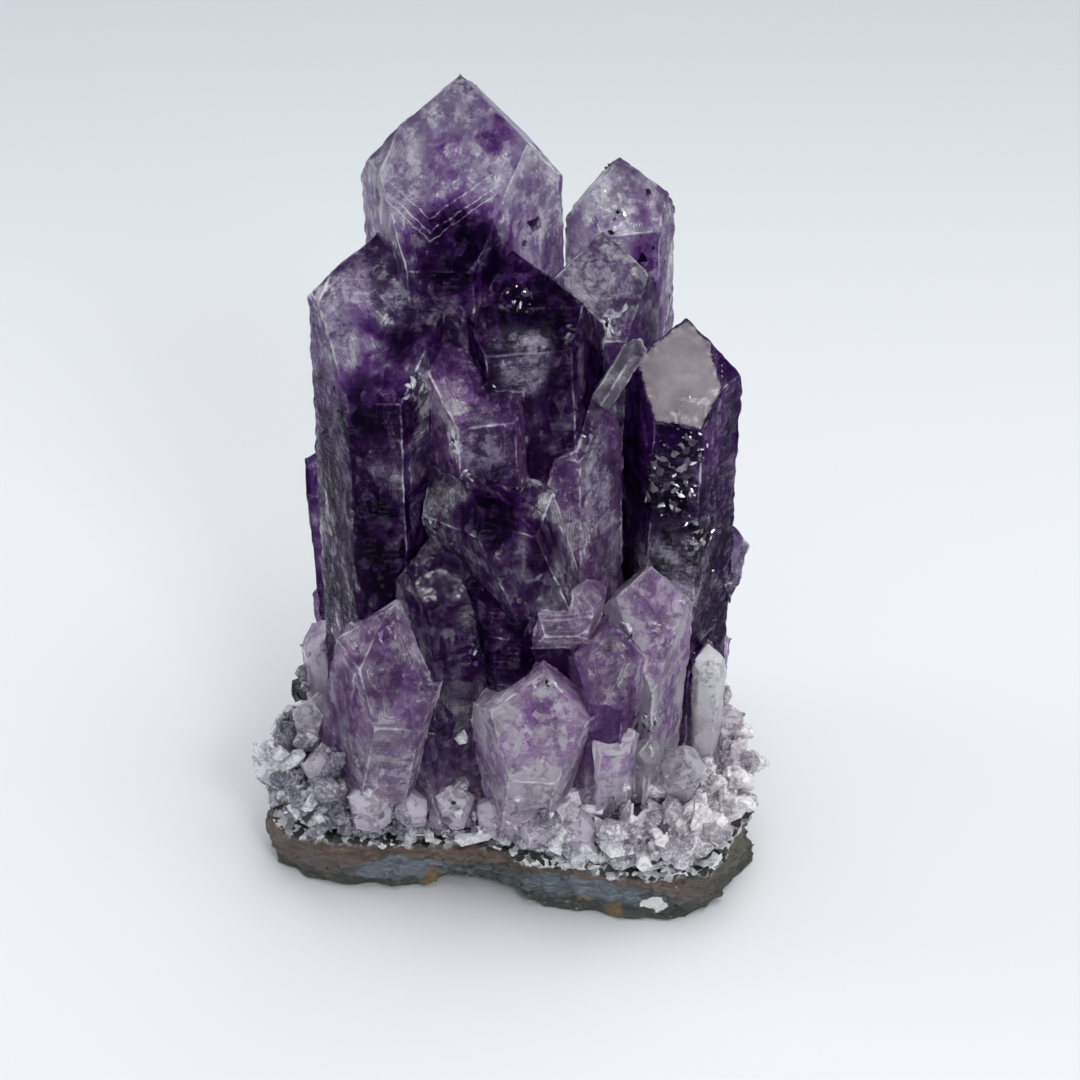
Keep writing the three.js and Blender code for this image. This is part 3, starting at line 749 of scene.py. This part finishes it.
def crystal(node, index):
    """One quartz crystal with all its detail, in place of its CAD node."""
    piece = copy_of(node, node + "_crystal")
    axis, tip = long_axis(piece)
    if node == "right_tower":
        edit(piece)
        bpy.ops.mesh.bisect(plane_co=FLAT_END[0], plane_no=FLAT_END[1], use_fill=True, clear_outer=True)
        done()
    heights = [v.co.dot(axis) for v in piece.data.vertices]
    length = max(heights) - min(heights)
    plain = BVHTree.FromPolygons(
        [v.co for v in piece.data.vertices], [face.vertices[:] for face in piece.data.polygons],
    )
    rng = random.Random(index + 900)
    # A random tone for each face: painted shading that sets the faces apart.
    painted_face_shades = [rng.random() for _ in piece.data.polygons]
    lines = detail(piece, axis, index, length)
    painted_face_shades = [painted_face_shades[plain.find_nearest(face.center)[2]] for face in piece.data.polygons]
    set_values(piece.data, "face", painted_face_shades, "FACE")
    add_hills(piece, axis, index, lines)
    set_values(piece.data, "edge", from_edges(piece, lines))
    take(piece)
    bpy.ops.object.shade_smooth_by_angle(angle=math.radians(20))
    look = {**PLAIN, "stops": PALETTES[SLOTS[node]], **LOOKS.get(node, {})}
    own_frame = Matrix.Translation(tip) @ standing(axis)
    piece.data.materials.append(amethyst(node + "_quartz", own_frame, **look))
    # The flat end gets a colour that is a painted reflection.
    if node == "right_tower":
        piece.data.materials.append(painted_reflection_face("flat_face_painted_reflection"))
        for face in piece.data.polygons:
            off = (face.center - FLAT_END[0]).dot(FLAT_END[1])
            if face.normal.dot(FLAT_END[1]) > 0.93 and abs(off) < 0.7 * MM:
                face.material_index = 1
    place_as(piece, node)


CRYSTALS = []
for index, node in enumerate(sorted(NODES)):
    if node not in ("quartz_bed", "agate_rind"):
        crystal(node, index)
        CRYSTALS.append(node)


# --- The bed of small quartz ----------------------------------------------------------------------

def small_point(name, lean, sharp, seed):
    """A quartz point one millimetre across: six uneven sides and a tip to one side of the middle."""
    bpy.ops.mesh.primitive_cylinder_add(vertices=6, radius=0.5 * MM, depth=1.6 * MM, location=(0, 0, 0))
    piece = bpy.context.object
    piece.name = name
    edit(piece)
    chosen(piece, lambda face: face.normal.z > 0.9)
    bpy.ops.mesh.extrude_region_move(TRANSFORM_OT_translate={"value": (lean * MM, 0, 0.55 * MM)})
    bpy.ops.transform.resize(value=(sharp, sharp * 0.4, 1), center_override=(lean * MM, 0, 1.35 * MM))
    bpy.ops.mesh.select_all(action="SELECT")
    bpy.ops.transform.vertex_random(offset=0.16 * MM, uniform=0.6, seed=seed)
    done()
    return piece


def small_chunk(name, squash, seed):
    """A broken grain of quartz a millimetre across, cut by a few flat breaks."""
    bpy.ops.mesh.primitive_ico_sphere_add(subdivisions=1, radius=0.55 * MM, location=(0, 0, 0))
    piece = bpy.context.object
    piece.name = name
    edit(piece)
    bpy.ops.transform.resize(value=(1, 0.8, squash))
    bpy.ops.transform.vertex_random(offset=0.2 * MM, uniform=0.5, seed=seed)
    rng = random.Random(seed)
    for _ in range(3):
        way = Vector((rng.uniform(-1, 1), rng.uniform(-1, 1), rng.uniform(0.1, 1))).normalized()
        bpy.ops.mesh.select_all(action="SELECT")
        bpy.ops.mesh.bisect(plane_co=way * 0.27 * MM * squash, plane_no=way, use_fill=True, clear_outer=True)
    done()
    return piece


SMALL = shapes_of([
    small_point("keen_point", 0.12, 0.1, 1), small_point("blunt_point", -0.1, 0.35, 2),
    small_chunk("round_chunk", 0.9, 3), small_chunk("flat_chunk", 0.45, 4), small_chunk("long_chunk", 1.3, 5),
])


def sown(name, places, material):
    """One piece made of copies of the small shapes; each copy carries its own tint."""
    corners, faces = copies(SMALL, places)
    mesh = bpy.data.meshes.new(name)
    mesh.from_pydata(corners, [], faces)
    set_values(mesh, "tint", [tint for kind, _, tint in places for _ in SMALL[kind][0]])
    piece = bpy.data.objects.new(name, mesh)
    bpy.context.collection.objects.link(piece)
    mesh.materials.append(material)
    place_as(piece)


def triangles(pieces):
    """Corner triples and normals of the triangles of some pieces, as arrays."""
    triples = []
    for piece in pieces:
        mesh = piece.data
        mesh.calc_loop_triangles()
        corners = np.empty(len(mesh.vertices) * 3)
        mesh.vertices.foreach_get("co", corners)
        index = np.empty(len(mesh.loop_triangles) * 3, dtype=int)
        mesh.loop_triangles.foreach_get("vertices", index)
        triples.append(corners.reshape(-1, 3)[index].reshape(-1, 3, 3))
    triples = np.concatenate(triples)
    normals = np.cross(triples[:, 1] - triples[:, 0], triples[:, 2] - triples[:, 0])
    sizes = np.linalg.norm(normals, axis=1, keepdims=True)
    return triples[sizes[:, 0] > 0], (normals / np.maximum(sizes, 1e-30))[sizes[:, 0] > 0]


def quartz_grains(name):
    """Small quartz of the bed: clear grey grains, white ones and dark pits, pinker towards the right."""
    finish = Finish(name)
    point = finish.point()
    tint = finish.carried("tint")
    cloud = finish.noise(finish.warped(point, 0.4, 2.0), 0.3, detail=5.0, rough=0.65)
    fleck = finish.noise(point, 1.6, detail=4.0, rough=0.7)
    x, _, z = finish.split(point)
    level = tint + (cloud - 0.5) * 0.5 + (fleck - 0.5) * 0.35 - (1 - x.within(-22.0, 6.0)) * 0.13
    grey = finish.ramp(level, [
        (0.0, (0.012, 0.010, 0.016)), (0.25, (0.09, 0.08, 0.11)), (0.5, (0.30, 0.28, 0.35)),
        (0.75, (0.62, 0.60, 0.66)), (1.0, (0.93, 0.92, 0.92)),
    ])
    pink = finish.ramp(level, [
        (0.0, (0.03, 0.015, 0.03)), (0.25, (0.20, 0.15, 0.22)), (0.5, (0.50, 0.44, 0.52)),
        (0.75, (0.78, 0.72, 0.77)), (1.0, (0.95, 0.92, 0.93)),
    ])
    colour = finish.mix(x.within(8.0, 26.0) * z.within(9.0, 16.0), grey, pink)
    grit = finish.noise(point, 3.0, detail=3.0, rough=0.7)
    facet = finish.facets(finish.warped(point, 1.2, 0.5), 1.0)
    normal = finish.bump(grit * 0.25 + facet * 0.9, 0.6, 0.3)
    gloss = 0.08 + fleck.within(0.45, 0.7) * 0.3
    cloudy = (fleck.within(0.42, 0.62) * 0.4 + level.within(0.6, 0.9) * 0.5 + 0.3).least(1.0)
    clear = finish.surface(
        Base_Color=colour, Roughness=gloss, IOR=QUARTZ_IOR, Transmission_Weight=1.0, Normal=normal,
    )
    milky = finish.surface(Base_Color=colour, Roughness=gloss + 0.1, IOR=QUARTZ_IOR, Normal=normal)
    return finish.finished(finish.node("ShaderNodeMixShader", {}, {0: cloudy, 1: clear, 2: milky}))


bed = copy_of("quartz_bed", "druse_bed")
finish_modifier(bed, "REMESH", mode="VOXEL", voxel_size=0.55 * MM)
for texture, depth, size in (
    (WAVES, 0.9 * MM, (6, 6, 5)), (PITS, 0.7 * MM, (2.6, 2.6, 2.2)), (PITS, 0.35 * MM, (1.3, 1.2, 1.1)),
):
    relief(bed, texture, depth, scaled(size))
take(bed)
bpy.ops.object.shade_flat()
BED_TINT = 0.76
GRAINS = quartz_grains("druse_quartz")
set_values(bed.data, "tint", [BED_TINT] * len(bed.data.vertices))
bed.data.materials.append(GRAINS)
place_as(bed, "quartz_bed")

rng = random.Random(11)
crystal_corners, crystal_normals = triangles([NODES[node] for node in CRYSTALS])
CRYSTAL_TREE = BVHTree.FromPolygons(
    crystal_corners.reshape(-1, 3).tolist(),
    [(3 * i, 3 * i + 1, 3 * i + 2) for i in range(len(crystal_corners))],
)


def depth_in_crystals(place):
    """How far inside a crystal a place is; negative outside."""
    spot, normal, _, distance = CRYSTAL_TREE.find_nearest(place)
    return distance if (place - spot).dot(normal) < 0 else -distance


def grains_over(triples, normals, count, keep, size, lift, white=0.0, dark=0.0, tries=12):
    """Places grains over some triangles, leaning outwards and up. keep gives the chance of a grain from its
    place and how far the surface looks up, size the least and greatest width in millimetres, lift how far
    the grains lean up, and white and dark the shares of such grains."""
    areas = np.linalg.norm(np.cross(triples[:, 1] - triples[:, 0], triples[:, 2] - triples[:, 0]), axis=1)
    totals = np.cumsum(areas)
    places = []
    for _ in range(count * tries):
        if len(places) == count:
            break
        index = int(np.searchsorted(totals, rng.random() * totals[-1]))
        a, b = rng.random(), rng.random()
        if a + b > 1:
            a, b = 1 - a, 1 - b
        one, two, three = triples[index]
        place = Vector(one + (two - one) * a + (three - one) * b)
        normal = Vector(normals[index])
        if rng.random() > keep(place, normal.z):
            continue
        wide = rng.uniform(*size) * (1.5 if rng.random() < 0.12 else 1)
        way = (normal + UP * lift + Vector([rng.uniform(-0.6, 0.6) for _ in range(3)])).normalized()
        if depth_in_crystals(place + way * wide * 0.7 * MM) > 0.3 * MM:
            continue
        kind = rng.choice((0, 1, 1, 2, 2, 3, 4)) if wide > 0.9 else rng.choice((1, 2, 3, 3, 4, 2))
        long = wide * rng.uniform(0.7, 1.15)
        matrix = (
            Matrix.Translation(place + way * long * 0.05 * MM) @ standing(way)
            @ Matrix.Rotation(rng.uniform(0, math.tau), 4, "Z") @ Matrix.Diagonal((wide, wide, long, 1))
        )
        roll = rng.random()
        tint = 0.95 if roll < white else 0.06 if roll < white + dark else rng.uniform(0.5, 0.95)
        places.append((kind, matrix, tint))
    return places


SEAM_TOP = 10 * MM
bed_corners, bed_normals = triangles([bed])
grains = grains_over(
    bed_corners, bed_normals, 1300,
    lambda place, up: 0.9 if place.z > SEAM_TOP and up > -0.3 else 0,
    (1.0, 3.0), 0.6, 0.14, 0.06,
)
sown("druse_grains", grains, GRAINS)
specks = grains_over(
    bed_corners, bed_normals, 1500,
    lambda place, up: 1 if 8 * MM < place.z < 12.5 * MM and abs(up) < 0.85 else 0,
    (0.35, 0.95), 0.2, 0.42, 0.4,
)
sown("seam_specks", specks, GRAINS)
feet = grains_over(
    crystal_corners, crystal_normals, 900,
    lambda place, up: math.exp(-max(0, place.z / MM - 13) / 4.5) if SEAM_TOP < place.z < 30 * MM else 0,
    (0.6, 2.2), 0.8, 0.14, 0.04,
)
sown("foot_grains", feet, GRAINS)


GLINTS = [glint for look in LOOKS.values() for glint in look.get("glints", [])]


def near_glint(place, up=0.0):
    """How likely a bright chip is at a place on the crystals: mostly in the broken patches of their looks."""
    chance = 0.006 if place.z > 20 * MM else 0.05
    for centre, radii in GLINTS:
        off = place / MM - Vector(centre)
        reach = sum((a / b) ** 2 for a, b in zip(off, radii))
        chance = max(chance, 1 - reach)
    return chance


FLAT_CHUNK = 3  # its place in SMALL
chips = []
spots = grains_over(crystal_corners, crystal_normals, 900, near_glint, (0.4, 1.9), 0.0, tries=150)
for _, matrix, _ in spots:
    place = matrix.to_translation()
    wide = matrix.to_scale().x * rng.uniform(0.5, 1.0) * (1 if near_glint(place) > 0.1 else 0.4)
    lie = Matrix.Translation(place) @ matrix.to_quaternion().to_matrix().to_4x4() @ tilted(rng, 0.5)
    chips.append((
        FLAT_CHUNK, lie @ Matrix.Diagonal((wide, wide * 0.8, wide * 0.4, 1)),
        rng.choice((0.1, 0.4, 0.7, 0.9, 1.0, 1.0)),
    ))
sown("bright_chips", chips, bright_fracture("bright_quartz_break"))


# --- The rind of agate ----------------------------------------------------------------------------

rind = copy_of("agate_rind", "agate")
finish_modifier(rind, "REMESH", mode="VOXEL", voxel_size=0.45 * MM)
group = rind.vertex_groups.new(name="sides")
for vertex in rind.data.vertices:
    group.add([vertex.index], min(1, max(0, (vertex.co.z - 0.2 * MM) / MM)), "REPLACE")
for texture, depth, size in (
    (WAVES, 1.3 * MM, (7, 7, 5)), (WAVES, 1.1 * MM, (9, 9, 0.9)), (PITS, 0.6 * MM, (2.2, 2.2, 0.9)),
    (WAVES, 0.35 * MM, (1.1, 1.1, 0.6)),
):
    relief(rind, texture, depth, scaled(size), "sides")
for vertex in rind.data.vertices:
    vertex.co.z = max(vertex.co.z, 0)
take(rind)
bpy.ops.object.shade_smooth_by_angle(angle=math.radians(32))


def agate(name):
    """Banded agate: a speckled seam over a brown band, blue-grey lenses and a dark crust below."""
    finish = Finish(name)
    point = finish.point()
    x, y, z = finish.split(point)
    sway = finish.noise(finish.stretch(point, 1, 1, 0.4), 0.13, detail=3.0)
    fine = finish.noise(point, 0.9, detail=5.0, rough=0.68)
    level = z + (sway - 0.5) * 3.0 + (fine - 0.5) * 1.1
    layers = finish.noise(finish.stretch(finish.warped(point, 0.25, 1.5), 0.12, 0.12, 2.6), 1.0, 4.0, 0.65)
    brown = finish.ramp(layers * 0.7 + fine * 0.3, [
        (0.25, (0.045, 0.030, 0.024)), (0.5, (0.125, 0.088, 0.072)), (0.65, (0.20, 0.15, 0.13)),
        (0.85, (0.40, 0.33, 0.29)),
    ])
    olive = finish.mix(layers, (0.045, 0.040, 0.028), (0.15, 0.13, 0.10))
    colour = finish.mix(x.within(22.0, 31.0) * 0.8, brown, olive)
    grey = finish.ramp(layers, [
        (0.3, (0.028, 0.033, 0.032)), (0.5, (0.065, 0.075, 0.078)), (0.7, (0.15, 0.165, 0.175)),
    ])
    colour = finish.mix((1 - level.within(4.3, 6.1)) * (1 - abs(x).within(20.0, 28.0) * 0.7), colour, grey)
    blue = finish.ramp(layers, [
        (0.3, (0.075, 0.090, 0.105)), (0.5, (0.125, 0.148, 0.172)), (0.7, (0.25, 0.28, 0.31)),
    ])
    loose = finish.warped(point, 0.3, 3.0)
    lens = finish.near(loose, (-16, -22, 3.4), (9, 9, 3.4))
    lens = lens.most(finish.near(loose, (10, -27, 4.0), (12, 9, 3.4)))
    patches = finish.noise(finish.stretch(point, 0.5, 0.5, 1.4), 0.12, detail=3.0).within(0.55, 0.63)
    behind = y.within(-10.0, 0.0) * patches * (1 - level.within(4.0, 6.0))
    colour = finish.mix(lens.within(0.15, 0.45).most(behind), colour, blue)
    crust = (1 - level.within(1.7, 3.3)) * fine.within(0.32, 0.48)
    colour = finish.mix(crust * 0.92, colour, finish.mix(fine, (0.008, 0.010, 0.008), (0.075, 0.085, 0.066)))
    rust = finish.near(loose, (-11.5, -22, 2.0), (2.6, 4, 2.2))
    rust = rust.most(finish.near(loose, (15, -28, 1.6), (2.2, 4, 1.8)))
    rust = rust.most(finish.noise(point, 0.2, detail=4.0).within(0.64, 0.7) * 0.7)
    colour = finish.mix(rust * 0.85, colour, finish.mix(fine, (0.045, 0.027, 0.010), (0.34, 0.22, 0.09)))
    pick = finish.tiles(finish.warped(point, 1.0, 0.7), 0.95)
    salt = finish.ramp(pick + (fine - 0.5) * 0.3, [
        (0.3, (0.012, 0.014, 0.014)), (0.45, (0.12, 0.12, 0.12)), (0.6, (0.42, 0.42, 0.43)),
        (0.8, (0.86, 0.86, 0.85)),
    ])
    seam = level.within(7.2, 8.4)
    colour = finish.mix(seam, colour, salt)
    chip = finish.near(loose, (20.8, -28, 3.0), (2.6, 4, 1.7)).within(0.3, 0.5)
    flakes = fine.within(0.66, 0.72) * 0.6
    colour = finish.mix(chip.most(flakes), colour, (0.80, 0.79, 0.77))
    rough = 0.42 + fine * 0.25 - lens * 0.22
    normal = finish.bump(fine * 0.6 + layers * 0.5 + pick * seam * 0.5, 0.7, 0.45)
    return finish.finished(finish.surface(Base_Color=colour, Roughness=rough, Normal=normal))


rind.data.materials.append(agate("banded_agate"))
place_as(rind, "agate_rind")


# --- Setting --------------------------------------------------------------------------------------

bpy.ops.mesh.primitive_plane_add(size=4)
floor = bpy.context.object
floor.name = "floor"
finish = Finish("pale_floor")
# The floor darkens towards the back: a painted fall-off of the light.
_, back, _ = finish.split(finish.point())
floor_with_painted_falloff = finish.mix(back.within(20.0, 330.0), (0.80, 0.81, 0.815), (0.58, 0.60, 0.61))
floor.data.materials.append(finish.finished(finish.surface(Base_Color=floor_with_painted_falloff, Roughness=0.7)))


def soft_light(name, place, size, power, colour=(1, 1, 1)):
    """A rectangular lamp that looks at the middle of the cluster."""
    lamp = bpy.data.lights.new(name, "AREA")
    lamp.shape = "RECTANGLE"
    lamp.size, lamp.size_y = size
    lamp.energy = power
    lamp.color = colour
    light = bpy.data.objects.new(name, lamp)
    bpy.context.collection.objects.link(light)
    light.location = place
    light.rotation_euler = (Vector((0, 0, 0.05)) - Vector(place)).to_track_quat("-Z", "Y").to_euler()


soft_light("overhead_light", (0.12, 0.06, 0.80), (0.8, 0.6), 4.3)
soft_light("left_light", (-0.75, 0.15, 0.35), (0.3, 0.5), 1.2, (0.93, 0.95, 1.0))
soft_light("front_light", (0.35, -0.75, 0.75), (0.25, 0.25), 2.6)

world = bpy.data.worlds.new("studio")
bpy.context.scene.world = world
world.use_nodes = True
sky = world.node_tree.nodes["Background"]
sky.inputs["Color"].default_value = (0.80, 0.86, 0.93, 1)
sky.inputs["Strength"].default_value = 0.5

camera = bpy.data.objects.new("camera", bpy.data.cameras.new("camera"))
bpy.context.collection.objects.link(camera)
camera.location = (0.004305, -0.334301, 0.30858)
camera.rotation_euler = (math.radians(52), 0, 0)
camera.data.lens = 100
camera.data.sensor_width = 36
camera.data.clip_start = 0.01
bpy.context.scene.camera = camera
bpy.context.scene.view_settings.view_transform = "Standard"
